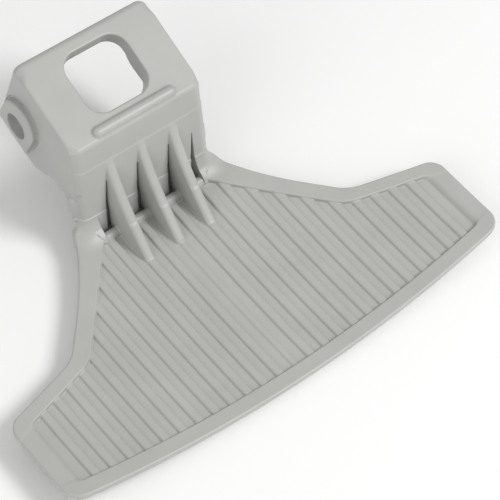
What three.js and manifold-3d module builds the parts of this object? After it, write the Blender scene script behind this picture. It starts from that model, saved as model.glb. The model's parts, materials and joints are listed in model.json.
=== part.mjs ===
// A front-loading washing machine's door handle: one plastic moulding, as its named sections.
// Millimetres, +Z up. The grip lies ribbed face up, with its smooth outer face down.
// +X runs along the pivot axis, and +Y runs from the grip to the head that holds the pivot pin.

import * as THREE from 'three';
import { mergeVertices } from 'three/addons/utils/BufferGeometryUtils.js';
import Module from 'manifold-3d';

const wasm = await Module();
wasm.setup();

// ---- Driving dimensions ----

// The grip is a shallow dish. These are its radii of curvature across and along it.
const DISH_RADIUS_X = 563;
const DISH_RADIUS_Y = 365;

// The grip's outline: half widths, and distances along Y from the dish's lowest point.
const GRIP_HALF_WIDTH = 62.7;
const LOWER_EDGE_RADIUS = 494;
const LOWER_EDGE_Y = -21.2;
const SHOULDER_TIP_Y = 6.4;
const VALLEY = [41.0, 12.8];
const NECK_HALF_WIDTH = 19.6;
const FLARE_MID = [24.9, 30.4];
const NECK_START_Y = 37.3;
const LOWER_CORNER_RADIUS = 4;
const TIP_CORNER_RADIUS = 3;
const VALLEY_CORNER_RADIUS = 1;
const FLARE_CORNER_RADIUS = 8;

// The rim around the ribbed panel, and the thicknesses below the slats' tops.
const RIM_LOWER_WIDTH = 4.1;
const RIM_END_WIDTH = 4.9;
const RIM_SHOULDER_WIDTH = 3.8;
const PANEL_VALLEY_X = 37.9;
const PANEL_CORNER_RADIUS = 2;
const BAY_HALF_WIDTH = 14.3;
const RIM_RISE = 0.5;
const GRIP_THICKNESS = 3.2;
const CHANNEL_DEPTH = 1.0;

// The dish is drawn in flat facets. An odd number of columns leaves one facet across its middle.
const DISH_COLUMNS = 11;
const DISH_ROWS = 5;

// The slats, the gussets and the round bar at the gussets' roots.
const SLAT_COUNT = 25;
const SLAT_PITCH = 4.5;
const SLAT_WIDTH = 2.3;
const ROOT_BAR_Y = 35.6;
const ROOT_BAR_WIDTH = 2.6;
const ROOT_BAR_RISE = 0.9;
const GUSSET_SPACING = 9;
const GUSSET_THICKNESS = 3;
const GUSSET_TIP_Y = 24.8;
const GUSSET_TIP_HEIGHT = 1.6;
const GUSSET_TOP_Z = 17;
const GUSSET_BEND = [34.5, 9.2];

// The neck's front wall leans back a little as it rises to the head.
const WALL_FOOT = [38.2, 4];
const WALL_LEAN = 0.21;
const WALL_TOP_Z = 24.2;
const WALL_BACK_TOP_Z = 23;
const WALL_FOOT_Z = 1.4;
const WALL_THICKNESS = 2.4;

// The skin under the neck carries on from the grip's underside to the head's, and the neck's
// cheeks stand between it and the wall.
const NECK_SKIN_OUTSIDE = [[37.6, -1.3], [41.2, 0.2], [43.8, 4.2], [49.8, 7.4]];
const NECK_SKIN_INSIDE = [[49.2, 9.4], [42.4, 6.9], [41.2, 4.8], [40.4, 1.1], [37.6, 1.1]];
const NECK_CHEEK_FOOT = [43.6, 8.2];
const NECK_CHEEK_HEEL_Z = 9.8;
const NECK_CHEEK_TOP_Z = 21;

// The head is a hollow box that leans back. Its own axes run back and up from its front top edge.
const HEAD_FRONT_EDGE = [43.0, 27.5];
const HEAD_TILT = THREE.MathUtils.degToRad(21.5);
const HEAD_HALF_WIDTH = 18.5;
const HEAD_LENGTH = 24.1;
const DECK_THICKNESS = 3;
const CHEEK_THICKNESS = 2.2;
const CHEEK_DEPTH = 23.6;
const CHEEK_FRONT_DEPTH = 19.6;
const CHEEK_FRONT_INSET = 0.2;
const CHEEK_BEND = [6, -23];
const CHEEK_BACK = 22.9;
const CHEEK_CORNER_RADIUS = 2;
const CHEEK_BACK_RADIUS = 7;
const DECK_FRONT_RADIUS = 1.5;
const DECK_BACK_RADIUS = 2.5;
const BACK_WALL_DEPTH = 14.6;
const BACK_WALL_THICKNESS = 1.8;
const BACK_WALL_TAPER = 1.1;
const WINDOW_CENTRE = 12.97;
const WINDOW_HALF_WIDTH = 8.6;
const WINDOW_HALF_LENGTH = 8.0;
const WINDOW_RADIUS = 4.5;
const COLLAR_THICKNESS = 1.0;
const COLLAR_DEPTH = 4;
const RIDGE_CENTRE = [0.2, 2.1];
const RIDGE_LENGTH = 23.4;
const RIDGE_WIDTH = 2.6;
const RIDGE_RISE = 0.9;
const PIVOT = [15.5, -14.8];
const PIVOT_BORE_RADIUS = 3.4;
const BOSS_RADIUS = 6;
const BOSS_RISE = 1.4;

// Neighbouring sections stay this far apart: a seam's width, or less where a flat face lies on another.
const GAP = 0.3;
const FACE_GAP = 0.1;

// Cutting shapes run this far past what they cut.
const REACH = 200;

const GREY = 0xb9bab5;

// ---- Helpers ----

function plastic(colour = GREY) {
  return new THREE.MeshStandardMaterial({ color: colour, roughness: 0.42, metalness: 0 });
}

function toSolid(geometry) {
  const bare = geometry.clone();
  for (const name of Object.keys(bare.attributes)) {
    if (name !== 'position') bare.deleteAttribute(name);
  }
  const merged = mergeVertices(bare, 1e-4);
  return new wasm.Manifold(new wasm.Mesh({
    numProp: 3,
    vertProperties: merged.attributes.position.array,
    triVerts: Uint32Array.from(merged.index.array),
  }));
}

function toGeometry(solid) {
  const mesh = solid.getMesh();
  const geometry = new THREE.BufferGeometry();
  geometry.setAttribute('position', new THREE.BufferAttribute(mesh.vertProperties, mesh.numProp));
  geometry.setIndex(new THREE.BufferAttribute(mesh.triVerts, 1));
  geometry.computeVertexNormals();
  return geometry;
}

function boxSolid([x0, x1], [y0, y1], [z0, z1]) {
  const box = new THREE.BoxGeometry(x1 - x0, y1 - y0, z1 - z0);
  box.translate((x0 + x1) / 2, (y0 + y1) / 2, (z0 + z1) / 2);
  return toSolid(box);
}

function dish(x, y) {
  return (x * x) / (2 * DISH_RADIUS_X) + (y * y) / (2 * DISH_RADIUS_Y);
}

// A slab that follows the dish, between two heights above the slats' tops.
function dishedSlab(low, high, [x0, x1], [y0, y1], columns = DISH_COLUMNS, rows = DISH_ROWS) {
  const slab = new THREE.BoxGeometry(x1 - x0, y1 - y0, 1, columns, rows, 1);
  slab.translate((x0 + x1) / 2, (y0 + y1) / 2, 0);
  const place = slab.attributes.position;
  for (let i = 0; i < place.count; i += 1) {
    const offset = place.getZ(i) > 0 ? high : low;
    place.setZ(i, dish(place.getX(i), place.getY(i)) + offset);
  }
  return toSolid(slab);
}

// A closed outline from corner points [x, y, radius], each rounded by its radius.
function roundedShape(corners) {
  const shape = new THREE.Shape();
  const at = (i) => new THREE.Vector2(...corners[(i + corners.length) % corners.length]);
  corners.forEach((corner, i) => {
    const here = at(i);
    const radius = corner[2] ?? 0;
    const towards = at(i - 1).sub(here).normalize();
    const onwards = at(i + 1).sub(here).normalize();
    const reach = radius / Math.tan(Math.acos(towards.dot(onwards)) / 2);
    const enter = here.clone().addScaledVector(towards, reach);
    const leave = here.clone().addScaledVector(onwards, reach);
    if (i === 0) shape.moveTo(enter.x, enter.y);
    else shape.lineTo(enter.x, enter.y);
    if (radius > 0) shape.quadraticCurveTo(here.x, here.y, leave.x, leave.y);
  });
  shape.closePath();
  return shape;
}

// An outline in X and Y, drawn out along Z.
function prism(shape, z0, z1, curveSegments = 6) {
  const geometry = new THREE.ExtrudeGeometry(shape, {
    depth: z1 - z0, bevelEnabled: false, curveSegments,
  });
  geometry.translate(0, 0, z0);
  return toSolid(geometry);
}

// A side view in Y and Z, drawn out along X.
function sideProfile(shape, x0, x1, curveSegments = 8) {
  const geometry = new THREE.ExtrudeGeometry(shape, {
    depth: x1 - x0, bevelEnabled: false, curveSegments,
  });
  geometry.applyMatrix4(new THREE.Matrix4().set(
    0, 0, 1, x0,
    1, 0, 0, 0,
    0, 1, 0, 0,
    0, 0, 0, 1,
  ));
  return toSolid(geometry);
}

function polygon(points) {
  return new THREE.Shape(points.map(([x, y]) => new THREE.Vector2(x, y)));
}

const grip = new THREE.Group();
const head = new THREE.Group();
head.position.set(0, HEAD_FRONT_EDGE[0], HEAD_FRONT_EDGE[1]);
head.rotation.x = HEAD_TILT;

function addSection(group, name, solid) {
  const mesh = new THREE.Mesh(toGeometry(solid), plastic());
  mesh.name = name;
  group.add(mesh);
}

// ---- Grip ----

function lowerEdge(x, inset) {
  return LOWER_EDGE_Y + inset + (x * x) / (2 * LOWER_EDGE_RADIUS);
}

// The right half of an outline, from the lower edge's middle round to the valley at the flare's foot.
function halfOutline(lower, end, shoulder, valleyX, endRadius, tipRadius) {
  const halfWidth = GRIP_HALF_WIDTH - end;
  const arc = [0.25, 0.5, 0.75].map((part) => {
    const x = part * halfWidth;
    return [x, lowerEdge(x, lower), 0];
  });
  const slope = Math.atan2(SHOULDER_TIP_Y - VALLEY[1], GRIP_HALF_WIDTH - VALLEY[0]);
  const drop = shoulder / Math.cos(slope);
  const shoulderY = (x) => VALLEY[1] - drop + (x - VALLEY[0]) * Math.tan(slope);
  return [
    ...arc,
    [halfWidth, lowerEdge(halfWidth, lower), endRadius],
    [halfWidth, shoulderY(halfWidth), tipRadius],
    [valleyX, shoulderY(valleyX), VALLEY_CORNER_RADIUS],
  ];
}

function mirrored(half) {
  const left = half.map(([x, y, radius]) => [-x, y, radius]).reverse();
  return [...half, ...left];
}

function gripOutline() {
  return roundedShape(mirrored([
    ...halfOutline(0, 0, 0, VALLEY[0], LOWER_CORNER_RADIUS, TIP_CORNER_RADIUS),
    [...FLARE_MID, FLARE_CORNER_RADIUS],
    [NECK_HALF_WIDTH, NECK_START_Y, 0],
  ]));
}

// The sunk panel inside the rim, with the bays under the gussets.
function panelOutline(inset) {
  const bayX = BAY_HALF_WIDTH - inset;
  return roundedShape(mirrored([
    ...halfOutline(
      RIM_LOWER_WIDTH + inset, RIM_END_WIDTH + inset, RIM_SHOULDER_WIDTH + inset,
      PANEL_VALLEY_X - inset, PANEL_CORNER_RADIUS, PANEL_CORNER_RADIUS,
    ),
    [bayX, ROOT_BAR_Y - inset, 0],
    [bayX, NECK_START_Y - inset, 0],
  ]));
}

const GRIP_SPAN_X = [-66, 66];
const GRIP_SPAN_Y = [-24, 40];

// Where one section of the rim ends and the next starts.
const RIM_LOWER_TOP_Y = -10;
const RIM_END_TOP_Y = 1;
const RIM_FLARE_X = 38;

function addRim() {
  const slab = dishedSlab(-GRIP_THICKNESS, RIM_RISE, GRIP_SPAN_X, GRIP_SPAN_Y);
  const border = prism(gripOutline(), -REACH, REACH).subtract(prism(panelOutline(0), -REACH, REACH));
  const rim = slab.intersect(border);
  const everyZ = [-REACH, REACH];
  const lower = boxSolid([-REACH, REACH], [-REACH, RIM_LOWER_TOP_Y], everyZ);
  addSection(grip, 'grip_rim_lower', rim.intersect(lower));
  for (const [side, sign] of [['left', -1], ['right', 1]]) {
    const span = (inner, outer) => (sign > 0 ? [inner, outer] : [-outer, -inner]);
    const end = boxSolid(span(RIM_FLARE_X, REACH), [RIM_LOWER_TOP_Y, RIM_END_TOP_Y], everyZ);
    const shoulder = boxSolid(span(RIM_FLARE_X, REACH), [RIM_END_TOP_Y, REACH], everyZ);
    const flare = boxSolid(span(0, RIM_FLARE_X), [RIM_END_TOP_Y, REACH], everyZ);
    addSection(grip, `grip_rim_end_${side}`, rim.intersect(end));
    addSection(grip, `grip_rim_shoulder_${side}`, rim.intersect(shoulder));
    addSection(grip, `grip_rim_flare_${side}`, rim.intersect(flare));
  }
}

function addFloor() {
  const slab = dishedSlab(-GRIP_THICKNESS, -CHANNEL_DEPTH, GRIP_SPAN_X, GRIP_SPAN_Y);
  addSection(grip, 'grip_floor', slab.intersect(prism(panelOutline(GAP), -REACH, REACH)));
}

function slatEnd(index) {
  const offset = Math.abs(index);
  const underGusset = offset * SLAT_PITCH === GUSSET_SPACING || offset === 0;
  return underGusset ? GUSSET_TIP_Y - GAP : ROOT_BAR_Y - ROOT_BAR_WIDTH / 2 - GAP;
}

function addSlats() {
  const inside = prism(panelOutline(GAP), -REACH, REACH);
  const half = (SLAT_COUNT - 1) / 2;
  for (let index = -half; index <= half; index += 1) {
    const x = index * SLAT_PITCH;
    const spanX = [x - SLAT_WIDTH / 2, x + SLAT_WIDTH / 2];
    const spanY = [GRIP_SPAN_Y[0], slatEnd(index)];
    const bar = dishedSlab(GAP - CHANNEL_DEPTH, 0, spanX, spanY, 1);
    const number = String(index + half + 1).padStart(2, '0');
    addSection(grip, `slat_${number}`, bar.intersect(inside));
  }
}

function wallFront(z) {
  return WALL_FOOT[0] + (z - WALL_FOOT[1]) * WALL_LEAN;
}

function gussetShape() {
  const foot = dish(0, GUSSET_TIP_Y) - CHANNEL_DEPTH + GAP;
  const back = dish(GUSSET_SPACING, NECK_START_Y) - CHANNEL_DEPTH + GAP;
  const shape = new THREE.Shape();
  shape.moveTo(GUSSET_TIP_Y, foot);
  shape.lineTo(wallFront(back) - GAP, back);
  shape.lineTo(wallFront(GUSSET_TOP_Z) - GAP, GUSSET_TOP_Z);
  shape.quadraticCurveTo(...GUSSET_BEND, GUSSET_TIP_Y, foot + GUSSET_TIP_HEIGHT);
  shape.closePath();
  return shape;
}

function addGussets() {
  [['left', -1], ['centre', 0], ['right', 1]].forEach(([side, place]) => {
    const x = place * GUSSET_SPACING;
    const half = GUSSET_THICKNESS / 2;
    const blade = sideProfile(gussetShape(), x - half, x + half);
    addSection(grip, `gusset_${side}`, blade);
  });
}

// The root bar crosses the four bays that the gussets and the rim leave between them.
function addRootBars() {
  const edges = [-BAY_HALF_WIDTH, -GUSSET_SPACING, 0, GUSSET_SPACING, BAY_HALF_WIDTH];
  const spanY = [ROOT_BAR_Y - ROOT_BAR_WIDTH / 2, ROOT_BAR_Y + ROOT_BAR_WIDTH / 2];
  for (let bay = 0; bay < 4; bay += 1) {
    const clearLeft = bay === 0 ? GAP : GUSSET_THICKNESS / 2 + GAP;
    const clearRight = bay === 3 ? GAP : GUSSET_THICKNESS / 2 + GAP;
    const spanX = [edges[bay] + clearLeft, edges[bay + 1] - clearRight];
    const bar = dishedSlab(GAP - CHANNEL_DEPTH, ROOT_BAR_RISE, spanX, spanY, 1, 1);
    addSection(grip, `root_bar_${bay + 1}`, bar);
  }
}

// ---- Neck ----

function addNeck() {
  const wall = polygon([
    [wallFront(WALL_FOOT_Z), WALL_FOOT_Z],
    [wallFront(WALL_FOOT_Z) + WALL_THICKNESS, WALL_FOOT_Z],
    [wallFront(WALL_BACK_TOP_Z) + WALL_THICKNESS, WALL_BACK_TOP_Z],
    [wallFront(WALL_TOP_Z), WALL_TOP_Z],
  ]);
  addSection(grip, 'neck_front_wall', sideProfile(wall, -HEAD_HALF_WIDTH, HEAD_HALF_WIDTH));
  const skin = polygon([...NECK_SKIN_OUTSIDE, ...NECK_SKIN_INSIDE]);
  addSection(grip, 'neck_skin', sideProfile(skin, -HEAD_HALF_WIDTH, HEAD_HALF_WIDTH));
}

// Each side of the neck is a wedge between the upright front wall and the head's leaning cheek.
function addNeckCheeks() {
  const lean = Math.tan(HEAD_TILT);
  const cheekFront = (z) => HEAD_FRONT_EDGE[0] + (HEAD_FRONT_EDGE[1] - z) * lean - GAP;
  const wallBack = (z) => wallFront(z) + WALL_THICKNESS + FACE_GAP;
  const wedge = polygon([
    [wallBack(NECK_CHEEK_FOOT[1]), NECK_CHEEK_FOOT[1]],
    NECK_CHEEK_FOOT,
    [cheekFront(NECK_CHEEK_HEEL_Z), NECK_CHEEK_HEEL_Z],
    [cheekFront(NECK_CHEEK_TOP_Z), NECK_CHEEK_TOP_Z],
    [wallBack(NECK_CHEEK_TOP_Z), NECK_CHEEK_TOP_Z],
  ]);
  for (const [side, sign] of [['left', -1], ['right', 1]]) {
    const outer = sign * HEAD_HALF_WIDTH;
    const inner = sign * (HEAD_HALF_WIDTH - CHEEK_THICKNESS);
    const solid = sideProfile(wedge, Math.min(inner, outer), Math.max(inner, outer));
    addSection(grip, `neck_cheek_${side}`, solid);
  }
}

// ---- Head ----

function windowShape(grow) {
  const x = WINDOW_HALF_WIDTH + grow;
  const y = WINDOW_HALF_LENGTH + grow;
  const radius = WINDOW_RADIUS + grow;
  return roundedShape([
    [-x, WINDOW_CENTRE - y, radius], [x, WINDOW_CENTRE - y, radius],
    [x, WINDOW_CENTRE + y, radius], [-x, WINDOW_CENTRE + y, radius],
  ]);
}

function addDeck() {
  const outline = roundedShape([
    [-HEAD_HALF_WIDTH, 0, DECK_FRONT_RADIUS], [HEAD_HALF_WIDTH, 0, DECK_FRONT_RADIUS],
    [HEAD_HALF_WIDTH, HEAD_LENGTH, DECK_BACK_RADIUS],
    [-HEAD_HALF_WIDTH, HEAD_LENGTH, DECK_BACK_RADIUS],
  ]);
  const deck = prism(outline, -DECK_THICKNESS, 0);
  addSection(head, 'head_deck', deck.subtract(prism(windowShape(0), -REACH, REACH)));
  const collarTop = -DECK_THICKNESS - GAP;
  const collar = prism(windowShape(COLLAR_THICKNESS), -COLLAR_DEPTH, collarTop)
    .subtract(prism(windowShape(0), -REACH, REACH));
  addSection(head, 'window_collar', collar);
  const halfLength = RIDGE_LENGTH / 2;
  const halfWidth = RIDGE_WIDTH / 2;
  const [ridgeX, ridgeY] = RIDGE_CENTRE;
  const ridge = roundedShape([
    [ridgeX - halfLength, ridgeY - halfWidth, halfWidth],
    [ridgeX + halfLength, ridgeY - halfWidth, halfWidth],
    [ridgeX + halfLength, ridgeY + halfWidth, halfWidth],
    [ridgeX - halfLength, ridgeY + halfWidth, halfWidth],
  ]);
  addSection(head, 'deck_ridge', prism(ridge, FACE_GAP, RIDGE_RISE));
}

function boreSolid() {
  const bore = new THREE.CylinderGeometry(PIVOT_BORE_RADIUS, PIVOT_BORE_RADIUS, REACH, 32);
  bore.rotateZ(Math.PI / 2);
  bore.translate(0, PIVOT[0], PIVOT[1]);
  return toSolid(bore);
}

function cheekShape() {
  const top = -DECK_THICKNESS - GAP;
  return roundedShape([
    [CHEEK_FRONT_INSET, top, 0],
    [CHEEK_FRONT_INSET, -CHEEK_FRONT_DEPTH, CHEEK_CORNER_RADIUS],
    [...CHEEK_BEND, CHEEK_CORNER_RADIUS],
    [CHEEK_BACK, -CHEEK_DEPTH, CHEEK_BACK_RADIUS],
    [HEAD_LENGTH - GAP, top, 0],
  ]);
}

function addCheeksAndBosses() {
  const bore = boreSolid();
  for (const [side, sign] of [['left', -1], ['right', 1]]) {
    const outer = sign * HEAD_HALF_WIDTH;
    const inner = sign * (HEAD_HALF_WIDTH - CHEEK_THICKNESS);
    const cheek = sideProfile(cheekShape(), Math.min(inner, outer), Math.max(inner, outer));
    addSection(head, `head_cheek_${side}`, cheek.subtract(bore));
    const disc = new THREE.CylinderGeometry(BOSS_RADIUS, BOSS_RADIUS, BOSS_RISE, 40);
    disc.rotateZ(Math.PI / 2);
    const middle = HEAD_HALF_WIDTH + FACE_GAP + BOSS_RISE / 2;
    disc.translate(sign * middle, PIVOT[0], PIVOT[1]);
    addSection(head, `pivot_boss_${side}`, toSolid(disc).subtract(bore));
  }
}

function addBackWall() {
  const inner = HEAD_LENGTH - BACK_WALL_THICKNESS;
  const halfWidth = HEAD_HALF_WIDTH - CHEEK_THICKNESS - GAP;
  const top = -DECK_THICKNESS - GAP;
  const section = polygon([
    [inner, -BACK_WALL_DEPTH],
    [HEAD_LENGTH - GAP - BACK_WALL_TAPER, -BACK_WALL_DEPTH],
    [HEAD_LENGTH - GAP, top],
    [inner, top],
  ]);
  addSection(head, 'head_back_wall', sideProfile(section, -halfWidth, halfWidth));
}

addRim();
addFloor();
addSlats();
addGussets();
addRootBars();
addNeck();
addNeckCheeks();
addDeck();
addCheeksAndBosses();
addBackWall();

// The origin is the middle of the bounding box's underside.
const handle = new THREE.Group();
handle.add(grip, head);
handle.updateMatrixWorld(true);
const bounds = new THREE.Box3().setFromObject(handle, true);
handle.position.set(0, -(bounds.min.y + bounds.max.y) / 2, -bounds.min.z);

export default handle;
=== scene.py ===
"""A front-loading washing machine's door handle, one grey plastic moulding, on a pale studio floor.

The moulding is described as a distance field: simple shapes, cut and joined with rounded edges, so
that every edge has its radius and every inner corner its fillet. The field is meshed once, and the
mesh is divided into named pieces whose seams share their points.

Lengths in the field are millimetres, in the grip's own axes: the origin is the lowest point of the
dish, x runs along the grip, y towards the head and z up.
"""
import json
import math

import bpy
import numpy as np
from mathutils import Matrix, Vector


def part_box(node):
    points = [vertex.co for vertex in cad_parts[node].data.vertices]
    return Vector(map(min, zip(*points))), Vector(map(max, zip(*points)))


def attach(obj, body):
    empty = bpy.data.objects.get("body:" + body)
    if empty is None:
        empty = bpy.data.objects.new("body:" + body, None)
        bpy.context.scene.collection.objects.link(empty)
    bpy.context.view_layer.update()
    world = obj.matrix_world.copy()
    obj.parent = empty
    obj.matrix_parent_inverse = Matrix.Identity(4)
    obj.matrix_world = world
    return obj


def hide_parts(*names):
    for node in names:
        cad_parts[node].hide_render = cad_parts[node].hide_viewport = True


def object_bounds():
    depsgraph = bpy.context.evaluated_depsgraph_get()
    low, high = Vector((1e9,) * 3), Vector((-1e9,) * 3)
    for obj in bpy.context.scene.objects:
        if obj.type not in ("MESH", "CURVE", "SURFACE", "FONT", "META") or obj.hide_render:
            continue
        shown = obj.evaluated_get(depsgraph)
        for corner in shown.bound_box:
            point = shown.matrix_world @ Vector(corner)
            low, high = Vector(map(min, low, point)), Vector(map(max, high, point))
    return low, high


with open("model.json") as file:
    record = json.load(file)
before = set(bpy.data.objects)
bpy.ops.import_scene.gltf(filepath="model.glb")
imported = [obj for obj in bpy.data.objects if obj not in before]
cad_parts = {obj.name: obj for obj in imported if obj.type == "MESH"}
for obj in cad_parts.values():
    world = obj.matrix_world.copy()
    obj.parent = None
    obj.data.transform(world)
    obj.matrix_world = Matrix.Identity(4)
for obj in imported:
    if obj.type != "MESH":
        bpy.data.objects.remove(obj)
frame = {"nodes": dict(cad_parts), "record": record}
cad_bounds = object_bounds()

MM = 0.001

# ---- Places taken from the frame ----


def node_box(name):
    """A CAD node's lowest and highest corners, in millimetres in the row frame."""
    low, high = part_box(name)
    return np.array(low) / MM, np.array(high) / MM


def mount(name):
    """A mount's point and outward direction in the row frame, in millimetres."""
    found = next(m for m in frame["record"]["mounts"] if m["name"] == name)
    return np.array(found["pos_m"]) / MM, np.array(found["axis"])


# The head's front top edge in the grip's axes, and the deck mount's distance behind that edge.
HEAD_EDGE_Y = 43.0
HEAD_EDGE_Z = 27.5
DECK_MOUNT_BACK = 12.0

deck_point, deck_normal = mount("deck_face")
HEAD_SIN = -deck_normal[1]
HEAD_COS = deck_normal[2]
ORIGIN = np.array([
    0.0,
    deck_point[1] - HEAD_EDGE_Y - DECK_MOUNT_BACK * HEAD_COS,
    deck_point[2] - HEAD_EDGE_Z - DECK_MOUNT_BACK * HEAD_SIN,
])

# ---- Sizes of the grip ----

END_BULGE = 0.2
GRIP_HALF_WIDTH = node_box("grip_rim_end_right")[1][0] + END_BULGE
DISH_RADIUS_X = 563.0
DISH_RADIUS_Y = 365.0
LOWER_EDGE_Y = -21.2
LOWER_EDGE_RADIUS = 494.0

# The turning points of the outline's right half, from the tip round to the neck.
VALLEY = (41.0, 12.8)
SHOULDER_TIP = (62.7, 6.4)
FLARE_MID = (24.9, 30.4)
NECK_FOOT = (20.2, 39.2)
GRIP_BACK_Y = 40.6
GRIP_BACK_RADIUS = 1.0
LOWER_CORNER_RADIUS = 4.0
TIP_RADIUS = 3.0
VALLEY_BLEND = 1.6
FLARE_BLEND = 3.0

# The rim's height over the dish and its widths: below the panel, and along the shoulder and the flare.
RIM_RISE = 0.5
RIM_LOWER = 3.95
RIM_SHOULDER = 3.55
RIM_FLARE = 4.2
RIM_TOP_RADIUS = 0.5
RIM_BOTTOM_RADIUS = 3.0
RIM_INNER_RADIUS = 0.35
RIM_END_ROLL_X = 59.8
RIM_END_ROLL_RADIUS = 2.3
GRIP_THICKNESS = 3.2
CHANNEL_DEPTH = 0.65
PANEL_CORNER_RADIUS = 1.2
BAY_HALF_WIDTH = 14.3
POCKET_DEPTH = 2.4
ROOT_SINK = 0.3

SLAT_COUNT = 25
SLAT_PITCH = (node_box("slat_25")[0][0] - node_box("slat_01")[0][0]) / (SLAT_COUNT - 1)
SLAT_HALF_WIDTH = 1.15
CENTRE_SLAT_NARROWER = 0.25
CENTRE_SLAT_LOWER = 0.25
SLAT_DRAFT = 0.06
SLAT_EDGE_RADIUS = 0.62
SLAT_FOOT_FILLET = 0.25
SLAT_RIM_OVERLAP = 0.8

ROOT_BAR_Y = 35.6
ROOT_BAR_RADIUS = 1.25
ROOT_BAR_RISE = 0.75
GUSSET_SPACING = node_box("gusset_right")[0][0] - node_box("gusset_centre")[0][0]
GUSSET_TIP_Y = 24.5
GUSSET_TIP_RADIUS = 0.5
GUSSET_TOP_Z = 20.8
GUSSET_SPREAD = 0.33
GUSSET_SWELL = 0.0142
GUSSET_CREST_HALF = 1.25
GUSSET_BASE_HALF = 1.6
GUSSET_DRAFT = 0.07
GUSSET_EDGE_RADIUS = 0.9
GUSSET_FILLET = 0.25
GUSSET_SINK = 1.0
SLOT_TOP_Z = 15.5
SLOT_LOW_Z = 5.0
SLOT_WIDTH = 1.3
SLOT_DEPTH = 2.0
SLOT_FORWARD = 0.6
SLOT_EDGE_RADIUS = 0.2

# ---- Sizes of the neck and the head, with u back and v up from the head's front top edge ----

WALL_FOOT_Y = 38.2
WALL_FOOT_Z = 4.0
WALL_LEAN = 0.21
WALL_THICKNESS = 2.4
WALL_LAP_Z = 12.0
WALL_SINK = 2.0
WALL_FOOT_FILLET = 4.5
BAY_FILLET = 0.3
UNDERSIDE_FILLET = 3.0
STEP_Z = 7.5
STEP_RISE = 0.25
BROW_DEPTH = 5.4
BROW_RISE = 0.12
STEP_BLEND = 0.3
NECK_FLARE = 0.05
NECK_CREASE_U = -1.0
NECK_UNDERSIDE_V = -18.5
NECK_SKIN = 2.1
HEAD_HALF_WIDTH = node_box("head_deck")[1][0]
BACK_TOP = (24.7, -1.9)
BACK_LOW = (22.9, -16.7)
BOTTOM_BACK = (16.6, -23.6)
BOTTOM_FRONT = (6.3, -22.8)
HEEL_TOP = (2.9, -19.8)
HEAD_BOTTOM_RADIUS = 6.5
HEEL_FILLET = 1.5
HEEL_FILLET_DEPTH = 0.5
DECK_FRONT_RADIUS = 0.6
DECK_BACK_RADIUS = 1.9
SIDE_EDGE_RADIUS = 0.6
NECK_EDGE_RADIUS = 2.6
NECK_EDGE_U = 3.5
NECK_EDGE_BLEND = 3.0
BACK_EDGE_RADIUS = 2.3
BACK_EDGE_U = 19.0
BACK_EDGE_BLEND = 4.0
DECK_THICKNESS = 3.0
CHEEK_THICKNESS = 1.7
BACK_WALL_THICKNESS = 1.8
BACK_WALL_DEPTH = 9.5
HOLLOW_FRONT_U = 5.5
HOLLOW_CORNER_RADIUS = 1.0
HOLLOW_SIDE_RADIUS = 0.8
HOLLOW_EDGE_RADIUS = 0.5

WINDOW_U = 12.97
WINDOW_HALF_X = 8.6
WINDOW_HALF_U = 8.03
WINDOW_RADIUS = 4.5
WINDOW_DRAFT = 0.087
WINDOW_EDGE_RADIUS = 0.4
COLLAR_THICKNESS = 1.3
COLLAR_DEPTH = 4.0
COLLAR_TOP_V = -0.5
COLLAR_FILLET = 0.5
WINDOW_PAST_COLLAR = 1.0
RIDGE_X = 0.2
RIDGE_U = 2.05
RIDGE_HALF_LENGTH = 11.7
RIDGE_RADIUS = 1.4
RIDGE_SINK = 0.15
RIDGE_FILLET = 0.35

PIVOT_U = 15.5
PIVOT_V = -14.8
BORE_RADIUS = 3.3
BORE_EDGE_RADIUS = 0.35
BORE_INNER_X = 13.0
BOSS_RADIUS = 5.85
BOSS_CENTRE_V = -12.9
BOSS_LOW_V = -22.8
BOSS_UNDERCUT = 2.5
BOSS_FACE_X = node_box("pivot_boss_right")[1][0]
BOSS_EDGE_RADIUS = 0.5
BOSS_CORNER_RADIUS = 1.0
BOSS_ROOT = 1.5
BOSS_FILLET = 0.3
GROOVE_OFFSET = 0.35
GROOVE_RADIUS = 0.25
GROOVE_END_V = -20.0
GROOVE_FADE = 6.0

# ---- Field helpers ----


def round_cut(a, b, radius):
    """What lies inside both shapes, its outer edge rounded by the radius."""
    corner = np.hypot(np.maximum(a + radius, 0), np.maximum(b + radius, 0))
    return corner + np.minimum(np.maximum(a, b), -radius)


def round_join(a, b, radius):
    """Both shapes together, with a fillet of the radius where they meet."""
    return -round_cut(-a, -b, radius)


def blend_join(a, b, width):
    """Both shapes together, easing from one to the other where they meet at a shallow angle."""
    overlap = np.maximum(width - np.abs(a - b), 0) / width
    return np.minimum(a, b) - overlap * overlap * width / 4


def past_line(p, q, start, end):
    """The distance of points to the right of a line that runs from start to end."""
    along = np.array(end) - np.array(start)
    length = math.hypot(*along)
    return ((p - start[0]) * along[1] - (q - start[1]) * along[0]) / length


def ease(value):
    """A smooth step from 0 to 1."""
    t = np.clip(value, 0, 1)
    return t * t * (3 - 2 * t)


def dish_height(x, y):
    """The height of the dished surface that the rim and the slats follow."""
    return x * x / (2 * DISH_RADIUS_X) + y * y / (2 * DISH_RADIUS_Y)


def head_axes(y, z):
    """Distances back and up from the head's front top edge."""
    back = (y - HEAD_EDGE_Y) * HEAD_COS + (z - HEAD_EDGE_Z) * HEAD_SIN
    up = (z - HEAD_EDGE_Z) * HEAD_COS - (y - HEAD_EDGE_Y) * HEAD_SIN
    return back, up


# ---- The grip's field ----


def lower_edge(x, y):
    """How far a point is past the long curved lower edge."""
    return np.hypot(x, y - LOWER_EDGE_Y - LOWER_EDGE_RADIUS) - LOWER_EDGE_RADIUS


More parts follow.
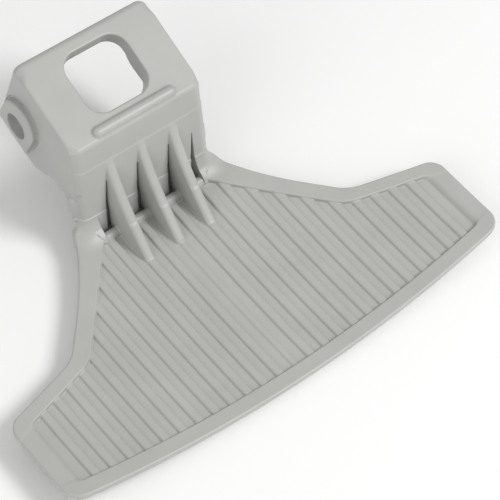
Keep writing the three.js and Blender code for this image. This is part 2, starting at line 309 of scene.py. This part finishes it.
def grip_outline(x, y):
    """The grip seen from above, past its outer edge."""
    across = np.abs(x)
    low = round_cut(lower_edge(x, y), across - GRIP_HALF_WIDTH, LOWER_CORNER_RADIUS)
    shoulder = past_line(across, y, SHOULDER_TIP, VALLEY)
    flare = past_line(across, y, VALLEY, FLARE_MID)
    throat = past_line(across, y, FLARE_MID, NECK_FOOT)
    high = blend_join(shoulder, blend_join(flare, throat, FLARE_BLEND), VALLEY_BLEND)
    return round_cut(round_cut(low, high, TIP_RADIUS), y - GRIP_BACK_Y, GRIP_BACK_RADIUS)


def rolled_end(across, height):
    """How far a point is inside the rim at the grip's end, which rolls over towards the panel."""
    above = np.maximum(height - RIM_RISE + RIM_END_ROLL_RADIUS, 0)
    return RIM_END_ROLL_RADIUS - np.hypot(np.maximum(RIM_END_ROLL_X - across, 0), above)


def panel_outline(x, y, height):
    """The sunk panel seen from above, with the bays under the gussets."""
    across = np.abs(x)
    low = round_cut(lower_edge(x, y) + RIM_LOWER, rolled_end(across, height), PANEL_CORNER_RADIUS)
    shoulder = past_line(across, y, SHOULDER_TIP, VALLEY) + RIM_SHOULDER
    flare = past_line(across, y, VALLEY, FLARE_MID) + RIM_FLARE
    high = np.minimum(blend_join(shoulder, flare, VALLEY_BLEND), across - BAY_HALF_WIDTH)
    return np.maximum(round_cut(low, high, PANEL_CORNER_RADIUS), y - GRIP_BACK_Y)


def slat_field(x, height, panel):
    """The finger-side slats at an even pitch. The one in the middle is a little narrower and lower."""
    last = (SLAT_COUNT - 1) / 2
    index = np.clip(np.round(x / SLAT_PITCH), -last, last)
    centre = index == 0
    side = np.abs(x - index * SLAT_PITCH) - SLAT_HALF_WIDTH + SLAT_DRAFT * height
    side = side + centre * CENTRE_SLAT_NARROWER
    bar = round_cut(side, height + centre * CENTRE_SLAT_LOWER, SLAT_EDGE_RADIUS)
    bar = np.maximum(bar, -height - CHANNEL_DEPTH - SLAT_RIM_OVERLAP)
    return np.maximum(bar, panel - SLAT_RIM_OVERLAP)


def pocket_field(x, y, height):
    """The deeper pocket between the root bar and the neck's wall."""
    beside = np.maximum(np.abs(x) - BAY_HALF_WIDTH, ROOT_BAR_Y - y)
    return np.maximum(beside, -height - POCKET_DEPTH)


def root_bar_field(x, y, height):
    """The cross bar at the gussets' roots: round on top, straight down into the pocket's floor."""
    bar = np.hypot(y - ROOT_BAR_Y, height - ROOT_BAR_RISE + ROOT_BAR_RADIUS) - ROOT_BAR_RADIUS
    bar = np.minimum(bar, np.maximum(np.abs(y - ROOT_BAR_Y) - ROOT_BAR_RADIUS, height))
    bar = np.maximum(bar, -height - POCKET_DEPTH - ROOT_SINK)
    return np.maximum(bar, np.abs(x) - BAY_HALF_WIDTH - SLAT_RIM_OVERLAP)


def grip_field(x, y, z):
    """The dished grip with its rim, sunk panel, slats and root bar."""
    height = z - dish_height(x, y)
    panel = panel_outline(x, y, height)
    slab = round_cut(grip_outline(x, y), height - RIM_RISE, RIM_TOP_RADIUS)
    slab = round_cut(slab, -height - GRIP_THICKNESS, RIM_BOTTOM_RADIUS)
    channel = round_cut(panel, -height - CHANNEL_DEPTH, SLAT_FOOT_FILLET)
    sunk = np.minimum(channel, pocket_field(x, y, height))
    slab = round_cut(slab, -sunk, RIM_INNER_RADIUS)
    slats = slat_field(x, height, np.maximum(panel, y - ROOT_BAR_Y))
    slab = round_join(slab, slats, SLAT_FOOT_FILLET)
    return round_join(slab, root_bar_field(x, y, height), SLAT_FOOT_FILLET)


# ---- The neck's and the head's field ----


def wall_front(y, z):
    """How far a point is in front of the neck's wall, which steps forward twice on its way down."""
    face = WALL_FOOT_Y + (z - WALL_FOOT_Z) * WALL_LEAN
    up = head_axes(y, z)[1]
    step = STEP_RISE * ease((STEP_Z - z) / STEP_BLEND)
    brow = BROW_RISE * ease((-BROW_DEPTH - up) / STEP_BLEND)
    return (face - y) / math.hypot(1, WALL_LEAN) - step - brow


def behind_wall(front):
    """From 0 in front of the wall to 1 behind it."""
    return ease((-front - WALL_THICKNESS / 2) / (WALL_THICKNESS / 2))


def side_outline(u, v, front):
    """The neck and the head seen from the side, past their outer edge."""
    back = past_line(u, v, BACK_LOW, BACK_TOP)
    upper = round_cut(round_cut(front, v, DECK_FRONT_RADIUS), back, DECK_BACK_RADIUS)
    neck = np.maximum(upper, NECK_UNDERSIDE_V - v)
    bottom = past_line(u, v, BOTTOM_FRONT, BOTTOM_BACK)
    heel = past_line(u, v, HEEL_TOP, BOTTOM_FRONT)
    head = np.maximum(round_cut(upper, bottom, HEAD_BOTTOM_RADIUS), heel)
    return round_join(neck, head, HEEL_FILLET * ease(-upper - HEEL_FILLET_DEPTH))


def half_width(u):
    """The neck spreads from a crease towards its foot."""
    return HEAD_HALF_WIDTH + NECK_FLARE * np.maximum(NECK_CREASE_U - u, 0)


def side_edge_radius(u):
    """The radius of the edges round the head's sides, larger at the front and at the back."""
    neck = ease((NECK_EDGE_U - u) / NECK_EDGE_BLEND)
    back = ease((u - BACK_EDGE_U) / BACK_EDGE_BLEND)
    radius = SIDE_EDGE_RADIUS + (NECK_EDGE_RADIUS - SIDE_EDGE_RADIUS) * neck
    return radius + (BACK_EDGE_RADIUS - SIDE_EDGE_RADIUS) * back


def hollow_outline(u, v, front):
    """The inside of the head and the neck seen from the side."""
    back = past_line(u, v, BACK_LOW, BACK_TOP) + BACK_WALL_THICKNESS
    floor = np.minimum(NECK_UNDERSIDE_V + NECK_SKIN - v, HOLLOW_FRONT_U - u)
    room = round_cut(front + WALL_THICKNESS, v + DECK_THICKNESS, HOLLOW_CORNER_RADIUS)
    room = round_cut(room, back, HOLLOW_CORNER_RADIUS)
    room = np.maximum(room, floor)
    way_out = np.maximum(v + BACK_WALL_DEPTH, HOLLOW_FRONT_U - u)
    return np.minimum(room, way_out)


def window_outline(x, u):
    """The window seen from above the deck, a rounded rectangle."""
    across = np.abs(x) - WINDOW_HALF_X + WINDOW_RADIUS
    along = np.abs(u - WINDOW_U) - WINDOW_HALF_U + WINDOW_RADIUS
    corner = np.hypot(np.maximum(across, 0), np.maximum(along, 0))
    return corner + np.minimum(np.maximum(across, along), 0) - WINDOW_RADIUS


def arch_outline(u, v):
    """The boss seen from the side: round above its centre, straight below it."""
    return np.hypot(u - PIVOT_U, np.maximum(v - BOSS_CENTRE_V, 0)) - BOSS_RADIUS


def boss_field(x, u, v, outline):
    """The raised arch round the pivot's bore, on both cheeks."""
    out = np.abs(x) - HEAD_HALF_WIDTH
    low = (BOSS_LOW_V - v + BOSS_UNDERCUT * out) / math.hypot(1, BOSS_UNDERCUT)
    pad = round_cut(arch_outline(u, v), low, BOSS_CORNER_RADIUS)
    pad = round_cut(pad, outline, BOSS_CORNER_RADIUS)
    pad = round_cut(pad, np.abs(x) - BOSS_FACE_X, BOSS_EDGE_RADIUS)
    return np.maximum(pad, HEAD_HALF_WIDTH - BOSS_ROOT - np.abs(x))


def groove_field(x, u, v):
    """A fine groove round each boss, which fades out towards its foot."""
    radius = GROOVE_RADIUS * ease((v - GROOVE_END_V) / GROOVE_FADE)
    return np.hypot(arch_outline(u, v) - GROOVE_OFFSET, np.abs(x) - HEAD_HALF_WIDTH) - radius


def bore_field(x, u, v):
    """The pivot's bore, through each boss and cheek."""
    return np.maximum(np.hypot(u - PIVOT_U, v - PIVOT_V) - BORE_RADIUS, BORE_INNER_X - np.abs(x))


def wall_field(x, y, z, front, width, edge):
    """The foot of the neck's front wall, down into the grip."""
    wall = np.maximum(round_cut(front, np.abs(x) - width, edge), -front - WALL_THICKNESS)
    return np.maximum(wall, np.maximum(z - WALL_LAP_Z, dish_height(x, y) - WALL_SINK - z))


def collar_field(window, v):
    """The collar that hangs from the deck round the window."""
    return np.maximum(window - COLLAR_THICKNESS, np.maximum(v - COLLAR_TOP_V, -COLLAR_DEPTH - v))


def window_field(window, v):
    """The window's hole, drafted narrower downwards, from the deck to past the collar."""
    return np.maximum(window - WINDOW_DRAFT * v, -COLLAR_DEPTH - WINDOW_PAST_COLLAR - v)


def ridge_field(x, u, v):
    """The low round ridge across the deck, in front of the window."""
    past_end = np.maximum(np.abs(x - RIDGE_X) - RIDGE_HALF_LENGTH + RIDGE_RADIUS, 0)
    return np.hypot(past_end, np.hypot(u - RIDGE_U, v + RIDGE_SINK)) - RIDGE_RADIUS


def head_field(x, y, z):
    """The neck and the head, hollow from below."""
    u, v = head_axes(y, z)
    front = wall_front(y, z)
    outline = side_outline(u, v, front)
    width = half_width(u)
    edge = side_edge_radius(u)
    block = round_cut(outline, np.abs(x) - width, edge)
    block = np.maximum(block, -groove_field(x, u, v))
    block = round_join(block, boss_field(x, u, v, outline), BOSS_FILLET)
    inside = np.abs(x) - width + CHEEK_THICKNESS
    hollow = round_cut(hollow_outline(u, v, front), inside, HOLLOW_SIDE_RADIUS)
    block = round_cut(block, -hollow, HOLLOW_EDGE_RADIUS)
    wall = wall_field(x, y, z, front, width, edge)
    block = round_join(block, wall, UNDERSIDE_FILLET * behind_wall(front))
    window = window_outline(x, u)
    block = round_join(block, collar_field(window, v), COLLAR_FILLET)
    block = round_cut(block, -window_field(window, v), WINDOW_EDGE_RADIUS)
    block = round_cut(block, -bore_field(x, u, v), BORE_EDGE_RADIUS)
    return round_join(block, ridge_field(x, u, v), RIDGE_FILLET)


def gusset_field(x, y, z):
    """Three thin curved webs that stand on the grip and die into the neck's wall."""
    front = wall_front(y, z)
    below = GUSSET_TOP_Z - z
    crest = front - GUSSET_SPREAD * below - GUSSET_SWELL * below * np.maximum(below, 0)
    crest = crest / np.sqrt(1 + (GUSSET_SPREAD + 2 * GUSSET_SWELL * np.maximum(below, 0)) ** 2)
    crest = round_cut(crest, GUSSET_TIP_Y - y, GUSSET_TIP_RADIUS)
    half = np.minimum(GUSSET_CREST_HALF + GUSSET_DRAFT * np.maximum(-crest, 0), GUSSET_BASE_HALF)
    index = np.clip(np.round(x / GUSSET_SPACING), -1, 1)
    side = np.abs(x - index * GUSSET_SPACING) - half
    web = round_cut(crest, side, GUSSET_EDGE_RADIUS)
    web = np.maximum(web, np.maximum(-front - GUSSET_SINK, head_axes(y, z)[1] + BROW_DEPTH))
    return np.maximum(web, dish_height(x, y) - POCKET_DEPTH - ROOT_SINK - z)


def slot_field(x, y, z):
    """Slots in the wall beside the gussets and the right column, which taper to nothing upwards."""
    across = np.abs(x)
    beside = np.minimum(across, np.abs(across - GUSSET_SPACING)) - GUSSET_BASE_HALF
    beside = np.minimum(beside, BAY_HALF_WIDTH - x)
    width = SLOT_WIDTH * np.clip((SLOT_TOP_Z - z) / (SLOT_TOP_Z - SLOT_LOW_Z), 0, 1)
    front = wall_front(y, z)
    near_wall = np.maximum(front - SLOT_FORWARD, -front - SLOT_DEPTH)
    slot = np.maximum(np.maximum(beside - width, across - BAY_HALF_WIDTH), near_wall)
    slot = np.maximum(slot, z - SLOT_TOP_Z)
    return np.maximum(slot, dish_height(x, y) - POCKET_DEPTH - z)


def handle_field(x, y, z):
    """The whole moulding: below 0 inside it, above 0 outside."""
    behind = behind_wall(wall_front(y, z))
    grip = grip_field(x, y, z)
    head = head_field(x, y, z)
    bays = round_join(grip, head, BAY_FILLET + (UNDERSIDE_FILLET - BAY_FILLET) * behind)
    columns = round_join(grip, head, WALL_FOOT_FILLET + (UNDERSIDE_FILLET - WALL_FOOT_FILLET) * behind)
    field = np.minimum(bays, np.maximum(columns, BAY_HALF_WIDTH - np.abs(x)))
    field = round_cut(field, -slot_field(x, y, z), SLOT_EDGE_RADIUS)
    return round_join(field, gusset_field(x, y, z), GUSSET_FILLET)


# ---- Meshing the field ----

# The lattice's spacing and lowest corner, the cells along a block, and the blocks along x, y and z.
CELL = 0.25
BLOCK = 8
BLOCK_COUNTS = np.array([64, 48, 22])
LATTICE_LOW = np.array([-63.875, -22.5, -4.0])
BATCH = 512
REACH_MARGIN = 1.25
GRADIENT_STEP = 0.03
SETTLING_ROUNDS = 2
LEAST_STEEPNESS = 0.25
TINY = 1e-6

# The pieces, and the planes that part them.
PIECES = (
    "grip_middle",
    "grip_left_wing",
    "grip_right_wing",
    "neck_and_gussets",
    "head_deck_and_walls",
    "head_left_cheek",
    "head_right_cheek",
)
WING_X = 15.5
NECK_X = 23.0
NECK_LOW_Z = 3.4
NECK_LOW_Y = 23.5
HEAD_Y = 46.6
CHEEK_X = 14.0


def sample_field(points):
    """The field at rows of x, y and z."""
    return handle_field(points[:, 0], points[:, 1], points[:, 2])


def sampled_lattice():
    """The field on a lattice, worked out in full only in the blocks that the surface may cross."""
    block_ids = np.indices(BLOCK_COUNTS).reshape(3, -1).T
    middles = LATTICE_LOW + (block_ids + 0.5) * BLOCK * CELL
    rough = sample_field(middles)
    values = rough.reshape(BLOCK_COUNTS).astype(np.float32)
    for axis in range(3):
        values = np.repeat(values, BLOCK, axis)
    reach = REACH_MARGIN * CELL * (BLOCK / 2 + 1) * math.sqrt(3)
    near = block_ids[np.abs(rough) < reach]
    offsets = np.indices((BLOCK, BLOCK, BLOCK)).reshape(3, -1).T
    for start in range(0, len(near), BATCH):
        corner = near[start:start + BATCH] * BLOCK
        index = (corner[:, None, :] + offsets[None]).reshape(-1, 3)
        found = sample_field(LATTICE_LOW + index * CELL)
        values[index[:, 0], index[:, 1], index[:, 2]] = found
    return values


def label_of(name):
    return PIECES.index(name) + 1


def piece_labels(values):
    """Which piece each lattice point belongs to, and 0 outside the moulding."""
    x, y, z = (low + np.arange(count) * CELL for low, count in zip(LATTICE_LOW, values.shape))
    near = np.abs(x) < NECK_X
    high = z > NECK_LOW_Z
    behind = y > HEAD_Y
    labels = np.full(values.shape, label_of("grip_middle"), np.uint8)
    labels[x < -WING_X] = label_of("grip_left_wing")
    labels[x > WING_X] = label_of("grip_right_wing")
    labels[np.ix_(near, y > NECK_LOW_Y, high)] = label_of("neck_and_gussets")
    labels[np.ix_(near, behind, high)] = label_of("head_deck_and_walls")
    labels[np.ix_(near & (x < -CHEEK_X), behind, high)] = label_of("head_left_cheek")
    labels[np.ix_(near & (x > CHEEK_X), behind, high)] = label_of("head_right_cheek")
    labels[values >= 0] = 0
    return labels


def mixed_cells(labels):
    """The lattice cells whose corners don't all have the same label."""
    lowest = np.full([n - 1 for n in labels.shape], 255, np.uint8)
    highest = np.zeros_like(lowest)
    for corner in np.ndindex(2, 2, 2):
        window = tuple(slice(d, n - 1 + d) for d, n in zip(corner, labels.shape))
        np.minimum(lowest, labels[window], out=lowest)
        np.maximum(highest, labels[window], out=highest)
    return np.argwhere(lowest != highest)


def starting_points(cells, values):
    """In each cell, the mean of the places where its edges cross the surface, or else its middle."""
    total = np.zeros((len(cells), 3))
    hits = np.zeros((len(cells), 1))
    for start in np.ndindex(2, 2, 2):
        for axis in range(3):
            if start[axis]:
                continue
            end = np.array(start)
            end[axis] = 1
            a = values[tuple((cells + start).T)].astype(float)
            b = values[tuple((cells + end).T)].astype(float)
            cut = (a < 0) != (b < 0)
            share = np.where(cut, a / np.where(cut, a - b, 1), 0)
            total += cut[:, None] * (start + share[:, None] * (end - start))
            hits += cut[:, None]
    on_surface = hits[:, 0] > 0
    middle = np.where(on_surface[:, None], total / np.maximum(hits, 1), 0.5)
    return LATTICE_LOW + (cells + middle) * CELL, on_surface


def facing_quads(labels, cells):
    """A quad round each lattice edge whose ends differ, with the labels at its two ends."""
    number = np.full([n - 1 for n in labels.shape], -1, np.int32)
    number[tuple(cells.T)] = np.arange(len(cells))
    quads, before, after = [], [], []
    for axis in range(3):
        low = [slice(None)] * 3
        high = [slice(None)] * 3
        low[axis] = slice(0, -1)
        high[axis] = slice(1, None)
        start = np.argwhere(labels[tuple(low)] != labels[tuple(high)])
        ring = []
        for back_second, back_third in ((1, 1), (0, 1), (0, 0), (1, 0)):
            cell = start.copy()
            cell[:, (axis + 1) % 3] -= back_second
            cell[:, (axis + 2) % 3] -= back_third
            ring.append(number[tuple(cell.T)])
        quads.append(np.stack(ring, axis=1))
        end = start.copy()
        end[:, axis] += 1
        before.append(labels[tuple(start.T)])
        after.append(labels[tuple(end.T)])
    return np.concatenate(quads), np.concatenate(before), np.concatenate(after)


def gradient_at(points):
    """The field and its slope at each point, from four samples round it."""
    corners = np.array([[1, 1, 1], [1, -1, -1], [-1, 1, -1], [-1, -1, 1]])
    samples = [sample_field(points + corner * GRADIENT_STEP) for corner in corners]
    slope = sum(corner * value[:, None] for corner, value in zip(corners, samples))
    return sum(samples) / 4, slope / (4 * GRADIENT_STEP)


def settle(points, on_surface):
    """Move the surface's points onto it exactly, and give each point the surface's direction."""
    for _ in range(SETTLING_ROUNDS):
        distance, slope = gradient_at(points)
        steep = np.maximum((slope * slope).sum(1), LEAST_STEEPNESS)
        move = np.clip((distance / steep)[:, None] * slope, -CELL / 2, CELL / 2)
        points = points - move * on_surface[:, None]
    slope = gradient_at(points)[1]
    return points, slope / np.maximum(np.linalg.norm(slope, axis=1, keepdims=True), TINY)


# ---- Pieces ----


def make_piece(name, points, normals, quads):
    """A closed mesh object in the row frame, shaded by the field's own directions."""
    used, corners = np.unique(quads, return_inverse=True)
    corners = corners.reshape(-1)
    mesh = bpy.data.meshes.new(name)
    mesh.vertices.add(len(used))
    mesh.vertices.foreach_set("co", ((points[used] + ORIGIN) * MM).ravel())
    mesh.loops.add(len(corners))
    mesh.loops.foreach_set("vertex_index", corners.astype(np.int32))
    mesh.polygons.add(len(quads))
    mesh.polygons.foreach_set("loop_start", np.arange(0, len(corners), 4, dtype=np.int32))
    mesh.polygons.foreach_set("use_smooth", np.ones(len(quads), bool))
    mesh.update(calc_edges=True)
    mesh.normals_split_custom_set_from_vertices(normals[used])
    piece = bpy.data.objects.new(name, mesh)
    bpy.context.scene.collection.objects.link(piece)
    return piece


def build_pieces(material):
    """Mesh the field and make each named piece, in place of its CAD nodes."""
    values = sampled_lattice()
    labels = piece_labels(values)
    cells = mixed_cells(labels)
    points, on_surface = starting_points(cells, values)
    points, normals = settle(points, on_surface)
    quads, before, after = facing_quads(labels, cells)
    for number, name in enumerate(PIECES, start=1):
        outward = quads[before == number]
        inward = quads[after == number][:, ::-1]
        piece = make_piece(name, points, normals, np.concatenate([outward, inward]))
        piece.data.materials.append(material)
        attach(piece, "root")
        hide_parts(*replaced_nodes(name))


def replaced_nodes(name):
    """The CAD nodes whose middles lie in a piece's share of the moulding."""
    return [node for node in frame["nodes"] if home_piece(node) == name]


def home_piece(node):
    """The piece whose share of the moulding a CAD node's middle lies in."""
    low, high = node_box(node)
    x, y, z = (low + high) / 2 - ORIGIN
    if node.startswith(("gusset", "neck")):
        return "neck_and_gussets"
    if y > HEAD_Y and node != "deck_ridge":
        if abs(x) < CHEEK_X:
            return "head_deck_and_walls"
        return "head_left_cheek" if x < 0 else "head_right_cheek"
    if z > NECK_LOW_Z and abs(x) < NECK_X and y > NECK_LOW_Y:
        return "neck_and_gussets"
    if abs(x) < WING_X:
        return "grip_middle"
    return "grip_left_wing" if x < 0 else "grip_right_wing"


# ---- Material ----

# Each noise's scale per metre, detail and roughness.
MOTTLE = (90.0, 3.0, 0.5)
GRAIN = (2600.0, 2.0, 0.6)
GRAIN_STRENGTH = 0.25
GRAIN_DEPTH = 0.00004
PLASTIC_DARK = (0.425, 0.43, 0.41)
PLASTIC_LIGHT = (0.455, 0.46, 0.438)
DARK_AT = 0.3
LIGHT_AT = 0.7
ROUGHNESS_LOW = 0.36
ROUGHNESS_HIGH = 0.46
SPECULAR = 0.5


def plastic_material():
    """Satin grey moulded plastic, with a faint mottle in colour and gloss and a fine grain."""
    material = bpy.data.materials.new("moulded_plastic_grey")
    material.use_nodes = True
    nodes = material.node_tree.nodes
    links = material.node_tree.links
    shader = nodes["Principled BSDF"]
    place = nodes.new("ShaderNodeTexCoord")

    def noise(scale, detail, roughness):
        node = nodes.new("ShaderNodeTexNoise")
        node.inputs["Scale"].default_value = scale
        node.inputs["Detail"].default_value = detail
        node.inputs["Roughness"].default_value = roughness
        links.new(place.outputs["Object"], node.inputs["Vector"])
        return node.outputs["Fac"]

    mottle = noise(*MOTTLE)
    grain = noise(*GRAIN)

    colour = nodes.new("ShaderNodeValToRGB")
    colour.color_ramp.elements[0].position = DARK_AT
    colour.color_ramp.elements[0].color = (*PLASTIC_DARK, 1)
    colour.color_ramp.elements[1].position = LIGHT_AT
    colour.color_ramp.elements[1].color = (*PLASTIC_LIGHT, 1)
    links.new(mottle, colour.inputs["Fac"])
    links.new(colour.outputs["Color"], shader.inputs["Base Color"])

    gloss = nodes.new("ShaderNodeMapRange")
    gloss.inputs["To Min"].default_value = ROUGHNESS_LOW
    gloss.inputs["To Max"].default_value = ROUGHNESS_HIGH
    links.new(mottle, gloss.inputs["Value"])
    links.new(gloss.outputs["Result"], shader.inputs["Roughness"])

    bump = nodes.new("ShaderNodeBump")
    bump.inputs["Strength"].default_value = GRAIN_STRENGTH
    bump.inputs["Distance"].default_value = GRAIN_DEPTH
    links.new(grain, bump.inputs["Height"])
    links.new(bump.outputs["Normal"], shader.inputs["Normal"])
    shader.inputs["Specular IOR Level"].default_value = SPECULAR
    return material


# ---- Floor, lights and camera ----

# The floor's half width and its gap under the handle, in metres.
FLOOR_HALF = 1.5
FLOOR_DROP = 0.0003
FLOOR_COLOUR = (0.93, 0.93, 0.925)
FLOOR_ROUGHNESS = 0.9

# Each lamp's name, bearing and height in degrees, distance and size in metres, and power in watts.
LAMPS = (
    ("key", -50.0, 48.0, 0.8, 0.3, 3.7),
    ("fill", -165.0, 32.0, 0.7, 0.5, 1.3),
)
WORLD_STRENGTH = 0.48

# The camera's target in the grip's axes, its distance, focal length and sensor width, in millimetres,
# and the nearest distance that it sees, in metres.
VIEW_TARGET = np.array([7.29, 9.43, 8.55])
VIEW_DISTANCE = 523.84
VIEW_BEARING = math.radians(44.98)
VIEW_PITCH = math.radians(54.12)
VIEW_ROLL = math.radians(7.24)
FOCAL_LENGTH = 164.77
SENSOR_WIDTH = 36.0
NEAREST_SEEN = 0.01


def add_floor():
    """A plain pale floor just under the handle."""
    half = FLOOR_HALF
    mesh = bpy.data.meshes.new("floor")
    level = cad_bounds[0][2] - FLOOR_DROP
    corners = [(-half, -half, level), (half, -half, level), (half, half, level), (-half, half, level)]
    mesh.from_pydata(corners, [], [(0, 1, 2, 3)])
    floor = bpy.data.objects.new("floor", mesh)
    bpy.context.scene.collection.objects.link(floor)
    material = bpy.data.materials.new("pale_floor")
    material.use_nodes = True
    shader = material.node_tree.nodes["Principled BSDF"]
    shader.inputs["Base Color"].default_value = (*FLOOR_COLOUR, 1)
    shader.inputs["Roughness"].default_value = FLOOR_ROUGHNESS
    mesh.materials.append(material)


def add_area_light(name, bearing, pitch, distance, size, power):
    """A square soft box aimed at the handle, from a bearing and a height in degrees."""
    light = bpy.data.lights.new(name, "AREA")
    light.size = size
    light.energy = power
    lamp = bpy.data.objects.new(name, light)
    turn = math.radians(bearing)
    height = math.radians(pitch)
    towards = Vector((
        math.cos(height) * math.cos(turn),
        math.cos(height) * math.sin(turn),
        math.sin(height),
    ))
    lamp.location = towards * distance
    lamp.rotation_euler = towards.to_track_quat("Z", "Y").to_euler()
    bpy.context.scene.collection.objects.link(lamp)


def add_lights():
    """An even white studio light with two soft boxes."""
    world = bpy.data.worlds.new("studio")
    world.use_nodes = True
    background = world.node_tree.nodes["Background"]
    background.inputs["Color"].default_value = (1.0, 1.0, 1.0, 1)
    background.inputs["Strength"].default_value = WORLD_STRENGTH
    bpy.context.scene.world = world
    for lamp in LAMPS:
        add_area_light(*lamp)


def add_camera():
    """A long lens above the handle, looking down across it."""
    camera = bpy.data.cameras.new("camera")
    camera.lens = FOCAL_LENGTH
    camera.sensor_width = SENSOR_WIDTH
    camera.clip_start = NEAREST_SEEN
    looking = Vector((
        math.cos(VIEW_PITCH) * math.cos(VIEW_BEARING),
        math.cos(VIEW_PITCH) * math.sin(VIEW_BEARING),
        -math.sin(VIEW_PITCH),
    ))
    level = looking.cross(Vector((0, 0, 1))).normalized()
    right = Matrix.Rotation(-VIEW_ROLL, 3, looking) @ level
    up = right.cross(looking)
    turn = Matrix((right, up, -looking)).transposed()
    holder = bpy.data.objects.new("camera", camera)
    target = Vector((VIEW_TARGET + ORIGIN) * MM)
    place = target - looking * VIEW_DISTANCE * MM
    holder.matrix_world = Matrix.Translation(place) @ turn.to_4x4()
    bpy.context.scene.collection.objects.link(holder)
    bpy.context.scene.camera = holder


bpy.context.scene.view_settings.view_transform = "Standard"
add_camera()
add_lights()
add_floor()
build_pieces(plastic_material())
